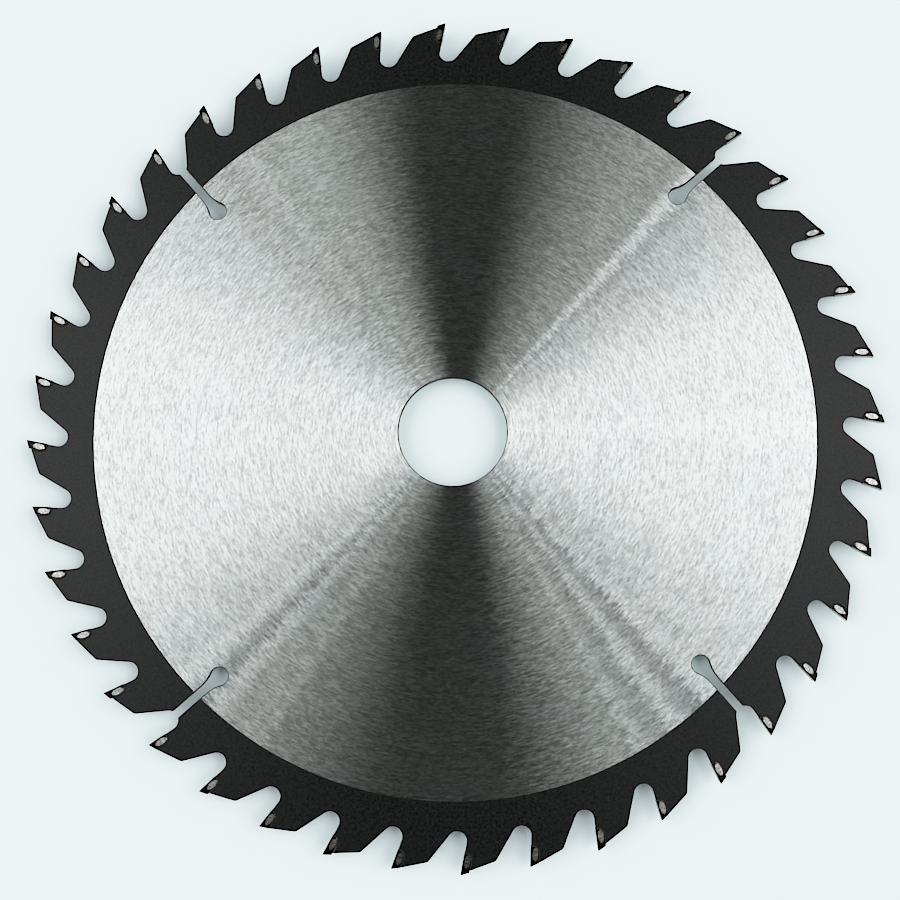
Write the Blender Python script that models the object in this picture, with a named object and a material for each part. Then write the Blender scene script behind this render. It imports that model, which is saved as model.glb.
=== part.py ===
"""Circular saw blade for wood, with carbide tips brazed to a steel plate.

Lengths are in metres and angles in degrees. The origin is the centre of the bore, half way through the
plate, and +Z is the blade's outer face. Seen from +Z the blade cuts clockwise. The plate is one sheet of
steel with gullets, tip seats, expansion slots and a bore. Each tip starts as a blank and is ground on its
two sides and on its top, and the bevel of the top leans to one side and to the other on alternate teeth.
"""

from math import acos, atan2, ceil, cos, degrees, radians, sin, sqrt, tan

import bmesh
import bpy
from mathutils import Matrix, Vector

# Blade
OUTER_DIAMETER = 0.200
BORE_DIAMETER = 0.0254
PLATE_THICKNESS = 0.0014
KERF = 0.0022
TEETH = 40

# Tooth form, in the plane of the plate
HOOK_ANGLE = 12.0
SHOULDER_ANGLE = 19.0
SHOULDER_DROP = 0.00034
TOOTH_LENGTH = 0.0080
HEEL_RADIUS = 0.0009
GULLET_DEPTH = 0.0095
GULLET_RADIUS = 0.0022

# Carbide tips
TIP_LENGTH = 0.0048
TIP_THICKNESS = 0.0018
TIP_CORNER_RADIUS = 0.0013
TIP_TOP_ANGLE = 15.0
TIP_BEVEL_ANGLE = 10.0
TIP_FOOT_RELIEF_ANGLE = 1.5
TIP_BACK_RELIEF_ANGLE = 2.5
TIP_OVERHANG = 0.0001
GRINDING_ALLOWANCE = 0.0005
BRAZE_GAP = 0.0002

# Expansion slots
SLOTS = 4
SLOT_LENGTH = 0.0129
SLOT_WIDTH = 0.0019
SLOT_LEAN_ANGLE = 4.5
SLOT_HOLE_DIAMETER = 0.0041
SLOT_FLARE_RADIUS = 0.0080

# Black coat, from this diameter outwards
COAT_INNER_DIAMETER = 0.1686

# Largest angle between two points of a round stretch
GULLET_STEP = 12.0
CORNER_STEP = 20.0
FLARE_STEP = 6.0
HOLE_STEP = 18.0
BORE_STEP = 3.75

# Points closer than this are one, and edges sharper than this angle stay sharp
WELD_DISTANCE = 1e-6
SHARP_ANGLE = 35.0

# Linear colour, metallic value and roughness of each surface
BRIGHT_STEEL = ((0.62, 0.63, 0.64, 1.0), 1.0, 0.30)
BLACK_COAT = ((0.018, 0.019, 0.019, 1.0), 0.0, 0.45)
CARBIDE = ((0.40, 0.40, 0.39, 1.0), 1.0, 0.28)

OUTER_RADIUS = OUTER_DIAMETER / 2
PITCH_ANGLE = 360 / TEETH

# Plane geometry


def turned(vector, angle):
    """A plane vector turned counterclockwise."""
    return Matrix.Rotation(radians(angle), 2) @ vector


def angle_of(vector):
    return degrees(atan2(vector.y, vector.x))


def on_circle(centre, radius, angle):
    return centre + turned(Vector((radius, 0)), angle)


def arc(centre, radius, start, sweep, step):
    """Points of an arc, both ends included. A negative sweep runs clockwise."""
    count = max(2, ceil(abs(sweep) / step))
    return [on_circle(centre, radius, start + sweep * i / count) for i in range(count + 1)]


def clockwise_arc(centre, radius, start, end, step):
    return arc(centre, radius, start, (end - start) % -360, step)


def crossing(point, direction, other_point, other_direction):
    """Where two lines meet."""
    distance = (other_point - point).cross(other_direction) / direction.cross(other_direction)
    return point + direction * distance


def rounded_corner(before, corner, after, radius):
    """The arc that replaces a corner, tangent to both of its sides."""
    inward = (before - corner).normalized()
    outward = (after - corner).normalized()
    half_angle = acos(inward.dot(outward)) / 2
    centre = corner + (inward + outward).normalized() * (radius / sin(half_angle))
    start = angle_of(corner + inward * (radius / tan(half_angle)) - centre)
    end = angle_of(corner + outward * (radius / tan(half_angle)) - centre)
    return arc(centre, radius, start, (end - start + 180) % 360 - 180, CORNER_STEP)


def tangent_point(point, centre, radius):
    """Where a line from the point touches the circle, on the clockwise side of the line to its centre."""
    away = point - centre
    return on_circle(centre, radius, angle_of(away) - degrees(acos(radius / away.length)))


# One tooth in the plate's plane. It points along +Y, where its cutting point is, and cuts towards +X.

CUTTING_POINT = Vector((0, OUTER_RADIUS))
DOWN_RAKE = turned(Vector((0, -1)), -HOOK_ANGLE)
BACKWARD = turned(DOWN_RAKE, -90)
DOWN_TOP = turned(Vector((-1, 0)), TIP_TOP_ANGLE)
DOWN_SHOULDER = turned(Vector((-1, 0)), SHOULDER_ANGLE)

TIP_FOOT = CUTTING_POINT + DOWN_RAKE * TIP_LENGTH
TIP_CORNER = min(TIP_CORNER_RADIUS, 0.8 * TIP_THICKNESS)
SEAT_WALL = CUTTING_POINT + BACKWARD * (TIP_THICKNESS + BRAZE_GAP)
SEAT_LEDGE = TIP_FOOT + DOWN_RAKE * BRAZE_GAP
GULLET_WALL = CUTTING_POINT + BACKWARD * TIP_OVERHANG


def tip_blank():
    """The tip's side view before its top is ground, from the rake face round to the back of the foot."""
    raised = DOWN_RAKE * -GRINDING_ALLOWANCE
    behind = BACKWARD * TIP_THICKNESS
    front = CUTTING_POINT + raised
    back_of_foot = rounded_corner(front + behind, TIP_FOOT + behind, TIP_FOOT, TIP_CORNER)
    return [front, front + behind, *back_of_foot, TIP_FOOT]


def shoulder_start():
    """The top of the seat's wall, which stays a little below the ground top of the tip."""
    return crossing(SEAT_WALL, DOWN_RAKE, CUTTING_POINT, DOWN_TOP) + DOWN_RAKE * SHOULDER_DROP


def heel_corner():
    start = shoulder_start()
    return start + DOWN_SHOULDER * ((start.x + TOOTH_LENGTH) / -DOWN_SHOULDER.x)


def seat():
    """The pocket for the tip, from the gullet's wall along the ledge and up the wall behind the tip."""
    mouth = crossing(SEAT_LEDGE, BACKWARD, GULLET_WALL, DOWN_RAKE)
    corner = crossing(SEAT_LEDGE, BACKWARD, SEAT_WALL, DOWN_RAKE)
    top = shoulder_start()
    return [mouth, *rounded_corner(mouth, corner, top, TIP_CORNER + BRAZE_GAP), top]


def gullet_centre():
    """One gullet radius in front of the gullet's wall, at the height that puts the floor at its depth."""
    start = GULLET_WALL - BACKWARD * GULLET_RADIUS
    reach = OUTER_RADIUS - GULLET_DEPTH + GULLET_RADIUS
    towards = start.dot(DOWN_RAKE)
    return start - DOWN_RAKE * (towards + sqrt(towards**2 - start.length_squared + reach**2))


def heel():
    """The rounded end of the shoulder, where the tooth's back starts to fall to the gullet behind it."""
    back_foot = tangent_point(heel_corner(), turned(gullet_centre(), PITCH_ANGLE), GULLET_RADIUS)
    return rounded_corner(shoulder_start(), heel_corner(), back_foot, HEEL_RADIUS)


def keyhole():
    """A slot along -Y from a gullet's floor to its hole and back, with the gullet's centre at the origin.

    A flare on each side leads from the slot's wall into the hole. The left half mirrors the right half.
    """
    half_width = SLOT_WIDTH / 2
    hole_radius = SLOT_HOLE_DIAMETER / 2
    hole = Vector((0, -GULLET_RADIUS - SLOT_LENGTH))
    flare_x = half_width + SLOT_FLARE_RADIUS
    flare_y = hole.y + sqrt((hole_radius + SLOT_FLARE_RADIUS) ** 2 - flare_x**2)
    flare = Vector((flare_x, flare_y))
    join = angle_of(flare - hole)
    mouth = Vector((half_width, -sqrt(GULLET_RADIUS**2 - half_width**2)))
    wall_to_hole = arc(flare, SLOT_FLARE_RADIUS, 180, join, FLARE_STEP)
    half_hole = clockwise_arc(hole, hole_radius, join, -90, HOLE_STEP)
    right = [mouth, *wall_to_hole[:-1], *half_hole]
    left = [Vector((-p.x, p.y)) for p in reversed(right[:-1])]
    return right + left


def gullet(slotted):
    """The gullet in front of the tooth, from the tooth ahead over the floor and up to the tip's seat."""
    centre = gullet_centre()
    heel_ahead = turned(heel_corner(), -PITCH_ANGLE)
    start = angle_of(tangent_point(heel_ahead, centre, GULLET_RADIUS) - centre)
    end = angle_of(BACKWARD)
    if not slotted:
        return clockwise_arc(centre, GULLET_RADIUS, start, end, GULLET_STEP)
    inwards = angle_of(centre) - 90 - SLOT_LEAN_ANGLE
    slot = [centre + turned(p, inwards) for p in keyhole()]
    before_slot = clockwise_arc(centre, GULLET_RADIUS, start, angle_of(slot[0] - centre), GULLET_STEP)
    after_slot = clockwise_arc(centre, GULLET_RADIUS, angle_of(slot[-1] - centre), end, GULLET_STEP)
    return before_slot[:-1] + slot + after_slot[1:]


def plate_outline():
    """Once round the blade, counterclockwise, tooth by tooth: gullet, seat, shoulder and heel."""
    slotted_teeth = {round((i + 0.5) * TEETH / SLOTS) for i in range(SLOTS)}
    outline = []
    for index in range(TEETH):
        tooth = gullet(index in slotted_teeth) + seat() + heel()
        outline += [turned(p, tooth_angle(index)) for p in tooth]
    return outline


def tooth_angle(index):
    """How far a tooth that points along +Y is turned to its place. The first tooth points along +X."""
    return index * PITCH_ANGLE - 90


# Materials


def principled(name, colour, metallic, roughness):
    material = bpy.data.materials.new(name)
    material.use_nodes = True
    shader = material.node_tree.nodes["Principled BSDF"]
    shader.inputs["Base Color"].default_value = colour
    shader.inputs["Metallic"].default_value = metallic
    shader.inputs["Roughness"].default_value = roughness
    return material


def coated_steel():
    """Bright steel, with the black coat outside the coat's inner diameter."""
    material = principled("coated_steel", *BRIGHT_STEEL)
    nodes = material.node_tree.nodes
    link = material.node_tree.links.new
    place = nodes.new("ShaderNodeTexCoord")
    radius = nodes.new("ShaderNodeVectorMath")
    radius.operation = "LENGTH"
    on_coat = nodes.new("ShaderNodeMath")
    on_coat.operation = "GREATER_THAN"
    on_coat.inputs[1].default_value = COAT_INNER_DIAMETER / 2
    colour = nodes.new("ShaderNodeValToRGB")
    colour.color_ramp.interpolation = "CONSTANT"
    colour.color_ramp.elements[0].color = BRIGHT_STEEL[0]
    colour.color_ramp.elements[1].color = BLACK_COAT[0]
    link(place.outputs["Object"], radius.inputs[0])
    link(radius.outputs["Value"], on_coat.inputs[0])
    link(on_coat.outputs["Value"], colour.inputs["Fac"])
    shader = nodes["Principled BSDF"]
    link(colour.outputs["Color"], shader.inputs["Base Color"])
    for socket, bright, coat in zip(("Metallic", "Roughness"), BRIGHT_STEEL[1:], BLACK_COAT[1:]):
        value = nodes.new("ShaderNodeMapRange")
        value.inputs["To Min"].default_value = bright
        value.inputs["To Max"].default_value = coat
        link(on_coat.outputs["Value"], value.inputs["Value"])
        link(value.outputs["Result"], shader.inputs[socket])
    return material


# Solids


def flat_curve(name, outlines, thickness):
    """Closed outlines, filled and thickened half to each side. An outline inside another is a hole."""
    curve = bpy.data.curves.new(name, "CURVE")
    curve.dimensions = "2D"
    curve.fill_mode = "BOTH"
    curve.extrude = thickness / 2
    for outline in outlines:
        spline = curve.splines.new("POLY")
        spline.points.add(len(outline) - 1)
        for target, p in zip(spline.points, outline):
            target.co = (p.x, p.y, 0, 1)
        spline.use_cyclic_u = True
    return curve


def flat_solid(name, outlines, thickness):
    """The same as a closed mesh, with its faces welded to its walls."""
    guide = bpy.data.objects.new(name, flat_curve(name, outlines, thickness))
    bpy.context.scene.collection.objects.link(guide)
    graph = bpy.context.evaluated_depsgraph_get()
    mesh = bpy.data.meshes.new_from_object(guide.evaluated_get(graph))
    bpy.data.curves.remove(guide.data)
    welded = bmesh.new()
    welded.from_mesh(mesh)
    bmesh.ops.remove_doubles(welded, verts=welded.verts, dist=WELD_DISTANCE)
    welded.to_mesh(mesh)
    welded.free()
    mesh.name = name
    return mesh


def grind(solid, point, outward):
    """Takes off what lies outside a plane, and closes the solid with the flat that is left."""
    everything = [*solid.verts, *solid.edges, *solid.faces]
    cut = bmesh.ops.bisect_plane(solid, geom=everything, plane_co=point, plane_no=outward, clear_outer=True)
    rim = [piece for piece in cut["geom_cut"] if isinstance(piece, bmesh.types.BMEdge)]
    bmesh.ops.contextual_create(solid, geom=rim)


def ground_tip(name, high_side):
    """A tip with its origin at its cutting point. Its top is highest at +Z or, with -1, at -Z."""
    blank = [p - CUTTING_POINT for p in tip_blank()]
    mesh = flat_solid(name, [blank], KERF + GRINDING_ALLOWANCE)
    tip = bmesh.new()
    tip.from_mesh(mesh)
    to_foot = DOWN_RAKE * tan(radians(TIP_FOOT_RELIEF_ANGLE))
    to_back = BACKWARD * tan(radians(TIP_BACK_RELIEF_ANGLE))
    for side in (1, -1):
        grind(tip, (0, 0, side * KERF / 2), (*(to_foot + to_back), side))
    above = turned(DOWN_TOP, -90) * cos(radians(TIP_BEVEL_ANGLE))
    lean = -high_side * sin(radians(TIP_BEVEL_ANGLE))
    grind(tip, (0, 0, high_side * KERF / 2), (*above, lean))
    tip.to_mesh(mesh)
    tip.free()
    return mesh


def part(name, mesh, material, collection):
    """An object for a sub-part, with its round stretches shaded smooth."""
    if not mesh.materials:
        mesh.materials.append(material)
        mesh.shade_smooth()
        mesh.set_sharp_from_angle(angle=radians(SHARP_ANGLE))
    piece = bpy.data.objects.new(name, mesh)
    collection.objects.link(piece)
    return piece


def plate_mesh():
    bore = arc(Vector((0, 0)), BORE_DIAMETER / 2, 0, 360, BORE_STEP)[:-1]
    return flat_solid("blade_body", [plate_outline(), bore], PLATE_THICKNESS)


def build():
    for old in list(bpy.data.objects):
        bpy.data.objects.remove(old)
    collection = bpy.data.collections.new("circular_saw_blade")
    bpy.context.scene.collection.children.link(collection)
    body = part("blade_body", plate_mesh(), coated_steel(), collection)
    carbide = principled("carbide", *CARBIDE)
    tip_meshes = [ground_tip("tip_high_outside", 1), ground_tip("tip_high_inside", -1)]
    for index in range(TEETH):
        tip = part(f"tip_{index + 1:02d}", tip_meshes[index % 2], carbide, collection)
        tip.location = turned(CUTTING_POINT, tooth_angle(index)).to_3d()
        tip.rotation_euler.z = radians(tooth_angle(index))
        tip.parent = body


build()
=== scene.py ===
"""The look of the circular saw blade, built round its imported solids.

Lengths are in metres and angles in degrees, in the frame of the solids: the origin is the centre of the
bore, half way through the plate, and +Z is the blade's outer face. Each solid of the blade is replaced by a
copy of itself with softly broken edges. The grain of the ground steel runs in circles round the bore, so
the light that the steel throws back lies in sectors that follow the lamps at the left and the right.
"""

from math import cos, pi, radians, sin, sqrt

import bmesh
import bpy
from mathutils import Matrix, Vector
from mathutils.bvhtree import BVHTree


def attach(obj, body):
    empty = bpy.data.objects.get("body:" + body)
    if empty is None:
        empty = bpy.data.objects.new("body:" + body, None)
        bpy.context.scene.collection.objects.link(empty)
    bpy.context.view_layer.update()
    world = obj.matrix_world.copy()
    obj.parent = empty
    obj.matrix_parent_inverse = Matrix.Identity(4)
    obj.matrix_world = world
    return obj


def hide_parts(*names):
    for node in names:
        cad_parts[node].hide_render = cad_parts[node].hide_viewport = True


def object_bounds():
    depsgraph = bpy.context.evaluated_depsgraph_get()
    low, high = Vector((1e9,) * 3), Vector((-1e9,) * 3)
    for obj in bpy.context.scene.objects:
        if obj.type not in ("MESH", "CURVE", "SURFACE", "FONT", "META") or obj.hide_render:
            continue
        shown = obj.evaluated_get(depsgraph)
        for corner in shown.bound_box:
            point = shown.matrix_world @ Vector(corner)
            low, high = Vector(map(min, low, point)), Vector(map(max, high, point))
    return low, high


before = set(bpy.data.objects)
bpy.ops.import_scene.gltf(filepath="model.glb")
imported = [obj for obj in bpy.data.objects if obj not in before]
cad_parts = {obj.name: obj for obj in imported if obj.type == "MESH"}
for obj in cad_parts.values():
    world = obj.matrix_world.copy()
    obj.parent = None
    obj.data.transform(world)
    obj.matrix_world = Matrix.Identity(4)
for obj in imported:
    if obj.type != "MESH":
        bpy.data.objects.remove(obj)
cad_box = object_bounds()

# The blade, as in its solids
OUTER_RADIUS = 0.1
COAT_INNER_RADIUS = 0.0843
TEETH = 40
HOOK_ANGLE = 12.0
BRAZE_GAP = 0.0002

# The ground oval on a tip's side, in millimetres: its middle from the tip's point, along the cutting face
# and back from that face, and its half length and half width
# The oval stops short of the tip's point, so the tip's outer part stays dark as a painted shadow
OVAL_MIDDLE = (-3.15, 0.98)
OVAL_HALF_SIZES = (1.45, 0.66)

# The coat was masked a little off the blade's centre
COAT_OFFSET_X = 0.00005
COAT_OFFSET_Y = 0.00028

# The grinding's centre lies this far to the side of the bore's
GRAIN_OFFSET = 0.0015

# How far apart in the noise two neighbouring rings of the grain are
RING_STEP = 7.3

# How much the ground steel's shine spreads across its grain and not along it, and how far the grain wanders
# from its circles, in radians
GRAIN_ANISOTROPY = -0.92
GRAIN_WANDER = 0.025

# Softly broken edges of the replacement pieces
PLATE_EDGE = 0.00020
TIP_EDGE = 0.00005
WELD_DISTANCE = 1e-6
FLAT_ANGLE = 0.5
SHARP_ANGLE = 28.0
LEVEL = 0.998
STEEP = 0.3

# The braze stays this far below the plate's faces and off the walls that it joins
BRAZE_RECESS = 0.00004
BRAZE_CLEARANCE = 0.00001

# The floor lies this far below the blade
FLOOR_DROP = 0.0015

# Camera, fitted to the photograph: a 48 mm lens on a 36 mm sensor, tilted about its own X and Y axes, and
# the blade's frame turned about Z and moved to the camera's frame
LENS_MM = 48.0
SENSOR_MM = 36.0
TILT_X = -6.750
TILT_Y = -1.347
TURN_Z = 0.98
BLADE_IN_CAMERA = (0.000636, 0.004217, -0.28055)

# The camera's response to light: the brightness that the lights approach, the light that comes out white,
# and how many points the curve has
FILM_SHOULDER = 1.06
FILM_WHITE = 3.0
FILM_POINTS = 12

# How much the camera sharpens
SHARPENING = 0.05

# Node helpers


def feed(socket, value):
    """Links a socket to another one's value, or sets it to a number or a colour."""
    if isinstance(value, bpy.types.NodeSocket):
        socket.id_data.links.new(value, socket)
    else:
        socket.default_value = value


def make(tree, kind, inputs, **settings):
    node = tree.nodes.new("ShaderNode" + kind)
    for name, value in settings.items():
        setattr(node, name, value)
    for name, value in inputs.items():
        feed(node.inputs[name], value)
    return node


def math(tree, operation, *values):
    node = make(tree, "Math", dict(enumerate(values)), operation=operation)
    return node.outputs[0]


def vector_math(tree, operation, *values):
    sockets = (0, "Scale") if operation == "SCALE" else (0, 1)
    node = make(tree, "VectorMath", dict(zip(sockets, values)), operation=operation)
    return node.outputs["Value" if operation in ("LENGTH", "DOT_PRODUCT") else "Vector"]


def combine(tree, x, y, z):
    return make(tree, "CombineXYZ", {0: x, 1: y, 2: z}).outputs[0]


def noise(tree, place, scale=1.0, detail=2.0, roughness=0.5):
    inputs = {"Vector": place, "Scale": scale, "Detail": detail, "Roughness": roughness}
    return make(tree, "TexNoise", inputs).outputs[0]


def remap(tree, value, low, high, to_low=0.0, to_high=1.0, smooth=False):
    inputs = {"Value": value, "From Min": low, "From Max": high, "To Min": to_low, "To Max": to_high}
    kind = "SMOOTHSTEP" if smooth else "LINEAR"
    return make(tree, "MapRange", inputs, interpolation_type=kind).outputs[0]


def mix(tree, factor, first, second):
    """A colour between two."""
    node = tree.nodes.new("ShaderNodeMix")
    node.data_type = "RGBA"
    feed(node.inputs[0], factor)
    feed(node.inputs[6], first)
    feed(node.inputs[7], second)
    return node.outputs[2]


def new_material(name):
    material = bpy.data.materials.new(name)
    material.use_nodes = True
    tree = material.node_tree
    return material, tree, tree.nodes["Principled BSDF"]


# Materials


def place_in_mm(tree):
    return vector_math(tree, "MULTIPLY", make(tree, "TexCoord", {}).outputs["Object"], (1000, 1000, 1000))


def flat_distance(tree, place, centre=(0.0, 0.0)):
    """A point's distance from an upright axis through this centre, in millimetres."""
    off = vector_math(tree, "SUBTRACT", place, (*centre, 0.0))
    return vector_math(tree, "LENGTH", vector_math(tree, "MULTIPLY", off, (1, 1, 0)))


def arcs(tree, place, width, length, seed):
    """Noise in short arcs round the bore, of this width and length in millimetres, from -1 to 1."""
    shrunk = vector_math(tree, "MULTIPLY", place, (1 / length, 1 / length, 1))
    x, y = make(tree, "SeparateXYZ", {0: shrunk}).outputs[:2]
    ring = math(tree, "FLOOR", math(tree, "DIVIDE", flat_distance(tree, place), width))
    across = math(tree, "MULTIPLY_ADD", ring, RING_STEP, seed)
    return remap(tree, noise(tree, combine(tree, x, y, across), detail=1.0), 0.33, 0.67, -1.0, 1.0)


def radial_tangent(tree, place, wander):
    """The direction straight across the circular grain, turned by a small angle in radians."""
    off = vector_math(tree, "SUBTRACT", place, (GRAIN_OFFSET * 1000, 0, 0))
    outwards = vector_math(tree, "NORMALIZE", vector_math(tree, "MULTIPLY", off, (1, 1, 0)))
    turn = make(tree, "VectorRotate", {"Vector": outwards, "Angle": wander}, rotation_type="Z_AXIS")
    return turn.outputs[0]


def blade_face():
    """Ground steel with a circular grain, under a satin black coat outside the coat's inner radius."""
    material, tree, shader = new_material("blade_face")
    place = place_in_mm(tree)
    strokes = arcs(tree, place, 0.45, 2.8, 1.7)
    nicks = arcs(tree, place, 0.38, 1.1, 61.9)
    grooves = arcs(tree, place, 0.36, 2.4, 41.3)
    long = arcs(tree, place, 1.2, 14.0, 5.3)
    cloud = noise(tree, place, 0.06, 3.0)

    grain = math(tree, "ADD", strokes, math(tree, "MULTIPLY_ADD", long, 0.2, nicks))
    tint = remap(tree, noise(tree, place, 0.04, 2.0), 0.35, 0.65)
    light_steel = mix(tree, tint, (0.794, 0.853, 0.826, 1), (0.762, 0.853, 0.871, 1))
    steel = mix(tree, remap(tree, grain, -1.8, 1.8), (0.370, 0.396, 0.386, 1), light_steel)
    wander = math(tree, "MULTIPLY", grooves, GRAIN_WANDER)
    ground = {
        "Color": steel,
        "Roughness": remap(tree, grooves, -1.0, 1.0, 0.138, 0.168),
        "Anisotropy": GRAIN_ANISOTROPY,
        "Tangent": radial_tangent(tree, place, wander),
    }
    bare = make(tree, "BsdfAnisotropic", ground)

    mottle = noise(tree, place, 1.6, 3.0, 0.7)
    fleck = remap(tree, mottle, 0.3, 0.7)
    black = mix(tree, fleck, (0.0002, 0.0004, 0.0004, 1), (0.0078, 0.0086, 0.0086, 1))
    feed(shader.inputs["Base Color"], black)
    satin = math(tree, "MULTIPLY_ADD", cloud, 0.4, mottle)
    feed(shader.inputs["Roughness"], remap(tree, satin, 0.3, 1.1, 0.37, 0.47))
    shader.inputs["Specular IOR Level"].default_value = 0.155
    shader.inputs["Anisotropic"].default_value = 1.0
    feed(shader.inputs["Tangent"], radial_tangent(tree, place, 0.0))

    masked = flat_distance(tree, place, (COAT_OFFSET_X * 1000, COAT_OFFSET_Y * 1000))
    edge = math(tree, "ADD", masked, remap(tree, noise(tree, place, 6.0, 1.0), 0.3, 0.7, -0.03, 0.03))
    past_border = math(tree, "SUBTRACT", edge, COAT_INNER_RADIUS * 1000)
    coat = remap(tree, past_border, -0.005, 0.005)
    either = make(tree, "MixShader", {0: coat, 1: bare.outputs[0], 2: shader.outputs[0]})
    feed(tree.nodes["Material Output"].inputs["Surface"], either.outputs[0])
    return material


def cut_edge():
    """The cut walls of the plate and its broken edges, dark oxide where bare, darkened further as painted
    shade that draws dark lines round the bore and the slots.
    """
    material, tree, shader = new_material("cut_edge")
    place = place_in_mm(tree)
    lines = noise(tree, vector_math(tree, "MULTIPLY", place, (6.0, 6.0, 0.6)), 1.0, 2.0)
    past_border = math(tree, "SUBTRACT", flat_distance(tree, place), COAT_INNER_RADIUS * 1000)
    coat = remap(tree, past_border, -0.1, 0.1)
    # The bare walls: dark oxide, and darker than that as painted shade along the edges of the bore and the
    # slots
    bare = mix(tree, lines, (0.003, 0.003, 0.003, 1), (0.016, 0.017, 0.018, 1))
    feed(shader.inputs["Base Color"], mix(tree, coat, bare, (0.004, 0.004, 0.004, 1)))
    feed(shader.inputs["Metallic"], remap(tree, coat, 0.0, 1.0, 0.5, 0.0))
    shader.inputs["Specular IOR Level"].default_value = 0.1
    feed(shader.inputs["Roughness"], remap(tree, lines, 0.3, 0.7, 0.4, 0.6))
    return material


def carbide():
    """Ground tungsten carbide, on a tip's cutting face and top."""
    material, tree, shader = new_material("ground_carbide")
    lines = noise(tree, vector_math(tree, "MULTIPLY", place_in_mm(tree), (1.5, 1.5, 12.0)), 1.0, 2.0)
    feed(shader.inputs["Base Color"], mix(tree, lines, (0.10, 0.10, 0.098, 1), (0.30, 0.30, 0.29, 1)))
    shader.inputs["Metallic"].default_value = 1.0
    feed(shader.inputs["Roughness"], remap(tree, lines, 0.3, 0.7, 0.3, 0.45))
    return material


def carbide_side():
    """A tip's side: an oval ground bright, and the dark film of the brazing round it, which at the tip's
    outer point is painted shadow.
    """
    material, tree, shader = new_material("carbide_side")
    place = place_in_mm(tree)
    on_tip = make(tree, "Attribute", {}, attribute_name="on_tip").outputs["Vector"]
    in_mm = vector_math(tree, "MULTIPLY", on_tip, (1000, 1000, 0))
    off = vector_math(tree, "SUBTRACT", in_mm, (*OVAL_MIDDLE, 0))
    reach = vector_math(tree, "LENGTH", vector_math(tree, "DIVIDE", off, (*OVAL_HALF_SIZES, 1)))
    ragged = math(tree, "MULTIPLY_ADD", noise(tree, place, 2.5, 2.0), 0.5, reach)
    # Dark round the oval from the brazing's film, and at the tip's outer point as painted shadow
    crust_and_shadow_mask = remap(tree, ragged, 1.10, 1.32, smooth=True)
    fine = remap(tree, arcs(tree, place, 0.12, 1.5, 3.1), -1.0, 1.0)
    worn = remap(tree, noise(tree, place, 1.8, 2.0), 0.35, 0.65)
    bright = mix(tree, worn, (0.30, 0.31, 0.30, 1), (0.80, 0.82, 0.80, 1))
    ground = mix(tree, fine, (0.20, 0.21, 0.20, 1), bright)
    crust_and_painted_shadow = mix(tree, noise(tree, place, 4.0, 3.0), (0.003, 0.003, 0.003, 1), (0.016, 0.014, 0.011, 1))
    feed(shader.inputs["Base Color"], mix(tree, crust_and_shadow_mask, ground, crust_and_painted_shadow))
    shader.inputs["Metallic"].default_value = 1.0
    feed(shader.inputs["Roughness"], remap(tree, fine, 0.0, 1.0, 0.28, 0.40))
    shader.inputs["Anisotropic"].default_value = 1.0
    feed(shader.inputs["Tangent"], radial_tangent(tree, place, 0.0))
    return material


def braze_alloy():
    """Braze, dulled and grained, with some of the black coat on it."""
    material, tree, shader = new_material("braze_alloy")
    place = place_in_mm(tree)
    grain = noise(tree, place, 5.0, 3.0)
    feed(shader.inputs["Base Color"], mix(tree, grain, (0.006, 0.006, 0.005, 1), (0.035, 0.030, 0.022, 1)))
    shader.inputs["Metallic"].default_value = 0.7
    feed(shader.inputs["Roughness"], remap(tree, grain, 0.3, 0.7, 0.45, 0.65))
    return material


def pale_floor():
    material, tree, shader = new_material("pale_floor")
    place = make(tree, "TexCoord", {}).outputs["Object"]
    cloud = noise(tree, place, 6.0, 3.0)
    feed(shader.inputs["Base Color"], mix(tree, cloud, (0.545, 0.66, 0.685, 1), (0.56, 0.675, 0.70, 1)))
    shader.inputs["Roughness"].default_value = 0.7
    shader.inputs["Specular IOR Level"].default_value = 0.2
    return material


# Pieces


def add_piece(name, mesh, materials):
    """Makes an object of a bmesh, whose level and large faces keep their normals up to their borders."""
    for face in mesh.faces:
        face.smooth = True
    data = bpy.data.meshes.new(name)
    mesh.to_mesh(data)
    mesh.free()
    normals = [Vector() for vertex in data.vertices]
    for face in data.polygons:
        weight = 1.0 if abs(face.normal.z) > LEVEL else face.area**2
        for corner in face.vertices:
            normals[corner] += face.normal * weight
    data.normals_split_custom_set_from_vertices([normal.normalized() for normal in normals])
    for material in materials:
        data.materials.append(material)
    piece = bpy.data.objects.new(name, data)
    bpy.context.scene.collection.objects.link(piece)
    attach(piece, "root")
    return piece


def welded(node):
    """A solid's mesh without the seams and the triangles of its file."""
    mesh = bmesh.new()
    mesh.from_mesh(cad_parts[node].data)
    for layer in list(mesh.loops.layers.float_vector):
        mesh.loops.layers.float_vector.remove(layer)
    bmesh.ops.remove_doubles(mesh, verts=mesh.verts, dist=WELD_DISTANCE)
    bmesh.ops.dissolve_limit(mesh, angle_limit=radians(FLAT_ANGLE), verts=mesh.verts, edges=mesh.edges)
    return mesh


def softened(node, name, width, materials, side_slope):
    """A copy of a solid with its edges softly broken.

    Faces that look up or down more than this slope take the first material, the rest the second one.
    """
    mesh = welded(node)
    sharp = [edge for edge in mesh.edges if edge.calc_face_angle(0) > radians(SHARP_ANGLE)]
    bmesh.ops.bevel(
        mesh,
        geom=sharp,
        offset=width,
        offset_type="OFFSET",
        segments=2,
        profile=0.5,
        affect="EDGES",
        clamp_overlap=False,
    )
    bmesh.ops.triangulate(mesh, faces=[face for face in mesh.faces if len(face.verts) > 4])
    for face in mesh.faces:
        face.material_index = 0 if abs(face.normal.z) > side_slope else 1
    piece = add_piece(name, mesh, materials)
    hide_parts(node)
    return piece


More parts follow.
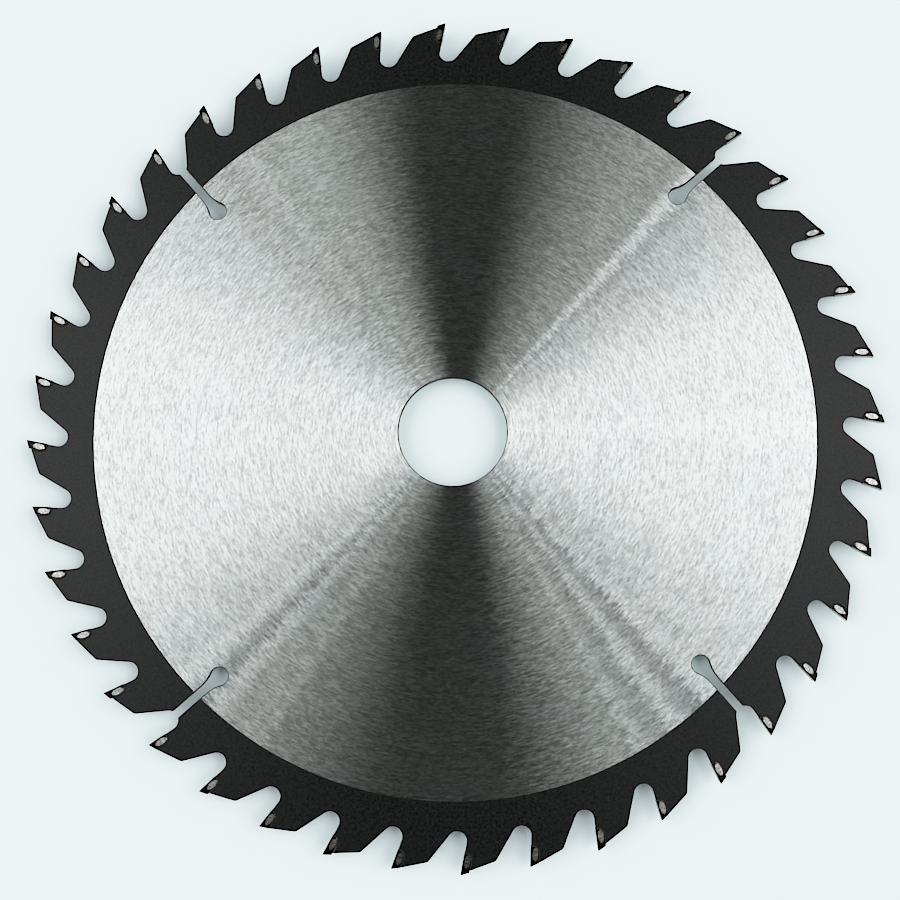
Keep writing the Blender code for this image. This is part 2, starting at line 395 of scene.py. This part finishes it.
def lay_out(tip, number):
    """Stores where each vertex lies on its tip: along the cutting face from its point, and back from it."""
    tooth = 2 * pi / TEETH * (number - 1)
    point = Vector((OUTER_RADIUS * cos(tooth), OUTER_RADIUS * sin(tooth), 0))
    turn = Matrix.Rotation(radians(HOOK_ANGLE) - tooth, 3, "Z")
    places = tip.data.attributes.new("on_tip", "FLOAT_VECTOR", "POINT")
    for vertex, place in zip(tip.data.vertices, places.data):
        place.vector = turn @ (vertex.co - point)


def braze_seam(plate, node, material):
    """The braze between a tip and its seat, grown from the seat's walls until it nearly meets the tip."""
    tip = welded(node)
    tip_surface = BVHTree.FromBMesh(tip)
    tip.free()
    seam = plate.copy()
    away = []
    for face in seam.faces:
        distance = tip_surface.find_nearest(face.calc_center_median())[3]
        if abs(face.normal.z) > 0.5 or distance > 1.5 * BRAZE_GAP:
            away.append(face)
    bmesh.ops.delete(seam, geom=away, context="FACES")
    seam.normal_update()
    for vertex in seam.verts:
        vertex.co += vertex.normal * (BRAZE_GAP - BRAZE_CLEARANCE)
        vertex.co.z *= 1 - BRAZE_RECESS / abs(vertex.co.z)
    bmesh.ops.solidify(seam, geom=seam.faces[:], thickness=BRAZE_GAP - 2 * BRAZE_CLEARANCE)
    return add_piece(node.replace("tip", "braze"), seam, [material])


def add_blade():
    body = softened("blade_body", "blade_plate", PLATE_EDGE, [blade_face(), cut_edge()], LEVEL)
    ground = [carbide_side(), carbide()]
    braze = braze_alloy()
    plate = welded("blade_body")
    for node in sorted(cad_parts):
        if node.startswith("tip_"):
            tip = softened(node, "carbide_" + node, TIP_EDGE, ground, STEEP)
            lay_out(tip, int(node[-2:]))
            seam = braze_seam(plate, node, braze)
    plate.free()


def add_floor():
    level = cad_box[0].z - FLOOR_DROP
    data = bpy.data.meshes.new("floor")
    side = 6.0
    corners = [(-side, -side, level), (side, -side, level), (side, side, level), (-side, side, level)]
    data.from_pydata(corners, [], [(0, 1, 2, 3)])
    data.materials.append(pale_floor())
    floor = bpy.data.objects.new("floor", data)
    bpy.context.scene.collection.objects.link(floor)


# Light

# Soft light round the horizon, on the right and on the left side of the blade: azimuth from that side's
# middle, half width, softness of the edges, strength and colour. A later row covers the ones before it.
# First come the dim walls beside the softboxes, then the softboxes, which are brightest in their middles,
# and last the bars and the gaps of their frames.
WARM = (1.0, 1.0, 0.945)
WHITE = (1.0, 1.0, 1.0)
RIGHT_LAMPS = (
    (-84.0, 12.0, 12.0, 0.30, WARM),
    (-35.5, 35.5, 24.0, 2.0, WARM),
    (33.5, 33.5, 28.0, 1.25, WARM),
    (-25.0, 25.0, 1.4, 4.0, WHITE),
    (24.0, 24.0, 2.0, 2.0, WHITE),
    (-4.0, 31.0, 36.0, 6.9, WHITE),
    (0.0, 3.0, 4.0, 8.2, WHITE),
    (-61.3, 1.1, 1.2, 2.9, WHITE),
    (-58.3, 1.2, 1.2, 1.7, WHITE),
    (-54.6, 1.3, 1.4, 4.0, WHITE),
    (-51.0, 1.3, 1.2, 1.6, WHITE),
    (-47.0, 1.5, 1.0, 5.6, WHITE),
    (43.6, 1.6, 1.4, 2.0, WHITE),
    (46.3, 1.2, 1.2, 3.6, WHITE),
)
LEFT_LAMPS = (
    (84.0, 12.0, 12.0, 0.22, WARM),
    (-36.0, 36.0, 26.0, 1.7, WARM),
    (33.0, 33.0, 28.0, 1.3, WARM),
    (54.0, 3.6, 2.0, 2.1, WARM),
    (-52.0, 2.0, 2.0, 2.2, WHITE),
    (-22.0, 22.0, 2.0, 2.65, WHITE),
    (25.0, 25.0, 2.0, 2.8, WHITE),
    (4.0, 31.0, 36.0, 6.7, WHITE),
    (-47.2, 1.3, 1.4, 1.5, WHITE),
    (41.0, 1.2, 1.4, 5.2, WHITE),
    (45.1, 1.3, 1.4, 0.9, WHITE),
    (48.0, 1.1, 1.0, 3.2, WHITE),
)
FAR_WALL = (0.07, 0.07, 0.065, 1.0)
DARK_ROOM = (0.022, 0.022, 0.020, 1.0)

# The upright edges of the softboxes all point at this place overhead, given by the x and y of its direction
OVERHEAD_POINT = (-0.013, 0.131, 0.0)

# The softboxes fade in and out between these heights, given by the z of their direction
LAMPS_START = (0.05, 0.30)
LAMPS_END = (0.78, 0.94)

# How much stronger than the average the light is from the right and the top, and weaker from the other side
LEAN = 0.1

# What the camera sees behind the floor
STUDIO_GREY = (0.62, 0.66, 0.68, 1.0)

# A wide lamp above the far side of the blade, which lights the floor and isn't mirrored in the steel
OVERHEAD_SIZE = 1.6
OVERHEAD_POWER = 2.5
OVERHEAD_PLACE = (0, 0.7, 1.0)
OVERHEAD_TILT = -35.0


def add_light():
    world = bpy.data.worlds.new("studio")
    bpy.context.scene.world = world
    world.use_nodes = True
    tree = world.node_tree
    tree.nodes.clear()
    x, y, z = make(tree, "SeparateXYZ", {0: make(tree, "TexCoord", {}).outputs["Generated"]}).outputs
    level = vector_math(tree, "NORMALIZE", combine(tree, x, y, 0.0))
    from_overhead = vector_math(tree, "SUBTRACT", combine(tree, x, y, 0.0), OVERHEAD_POINT)
    upright = vector_math(tree, "NORMALIZE", from_overhead)
    total = FAR_WALL
    for side, lamps in ((0, RIGHT_LAMPS), (180, LEFT_LAMPS)):
        for azimuth, half_width, softness, strength, colour in lamps:
            towards = Matrix.Rotation(radians(side + azimuth), 3, "Z") @ Vector((1, 0, 0))
            apart = math(tree, "ARCCOSINE", vector_math(tree, "DOT_PRODUCT", upright, towards))
            outer, inner = radians(half_width + softness / 2), radians(half_width - softness / 2)
            lit = remap(tree, apart, inner, outer, 1.0, 0.0, smooth=True)
            total = mix(tree, lit, total, (*(channel * strength for channel in colour), 1))
    above = remap(tree, z, *LAMPS_START, 0.0, 1.0, smooth=True)
    below = remap(tree, z, *LAMPS_END, 1.0, 0.0, smooth=True)
    total = mix(tree, math(tree, "MULTIPLY", above, below), DARK_ROOM, total)
    beside = vector_math(tree, "DOT_PRODUCT", level, (sqrt(0.5), sqrt(0.5), 0.0))
    total = vector_math(tree, "SCALE", total, remap(tree, beside, -1.0, 1.0, 1 - LEAN, 1 + LEAN))
    softboxes = make(tree, "Background", {"Color": total})
    backdrop = make(tree, "Background", {"Color": STUDIO_GREY})
    seen = make(tree, "LightPath", {}).outputs["Is Camera Ray"]
    either = make(tree, "MixShader", {0: seen, 1: softboxes.outputs[0], 2: backdrop.outputs[0]})
    output = tree.nodes.new("ShaderNodeOutputWorld")
    tree.links.new(either.outputs[0], output.inputs["Surface"])

    lamp = bpy.data.lights.new("overhead", "AREA")
    lamp.shape = "DISK"
    lamp.size = OVERHEAD_SIZE
    lamp.energy = OVERHEAD_POWER
    overhead = bpy.data.objects.new("overhead", lamp)
    overhead.location = OVERHEAD_PLACE
    overhead.rotation_euler.x = radians(OVERHEAD_TILT)
    overhead.visible_glossy = False
    bpy.context.scene.collection.objects.link(overhead)


def add_camera():
    data = bpy.data.cameras.new("camera")
    data.lens = LENS_MM
    data.sensor_width = SENSOR_MM
    data.sensor_fit = "HORIZONTAL"
    data.clip_start = 0.01
    data.clip_end = 20.0
    turn = Matrix.Rotation(radians(TILT_X), 4, "X") @ Matrix.Rotation(radians(TILT_Y), 4, "Y")
    turn = turn @ Matrix.Rotation(radians(TURN_Z), 4, "Z")
    camera = bpy.data.objects.new("camera", data)
    camera.matrix_world = (Matrix.Translation(BLADE_IN_CAMERA) @ turn).inverted()
    bpy.context.scene.collection.objects.link(camera)
    bpy.context.scene.camera = camera


def film(light):
    """How bright the film shows a light: as it is in the darks, and ever less than it in the lights."""
    return light / sqrt(1 + (light / FILM_SHOULDER) ** 2)


def set_film():
    view = bpy.context.scene.view_settings
    view.view_transform = "Standard"
    view.use_curve_mapping = True
    view.curve_mapping.white_level = (FILM_WHITE, FILM_WHITE, FILM_WHITE)
    curve = view.curve_mapping.curves[3]
    for step in range(1, FILM_POINTS):
        share = (step / FILM_POINTS) ** 2
        curve.points.new(share, film(share * FILM_WHITE))
    view.curve_mapping.update()


def set_sharpening():
    scene = bpy.context.scene
    scene.use_nodes = True
    tree = scene.node_tree
    tree.nodes.clear()
    layer = tree.nodes.new("CompositorNodeRLayers")
    sharpen = tree.nodes.new("CompositorNodeFilter")
    sharpen.filter_type = "SHARPEN"
    sharpen.inputs["Fac"].default_value = SHARPENING
    picture = tree.nodes.new("CompositorNodeComposite")
    tree.links.new(layer.outputs["Image"], sharpen.inputs["Image"])
    tree.links.new(sharpen.outputs["Image"], picture.inputs["Image"])


add_blade()
add_floor()
add_light()
add_camera()
set_film()
set_sharpening()
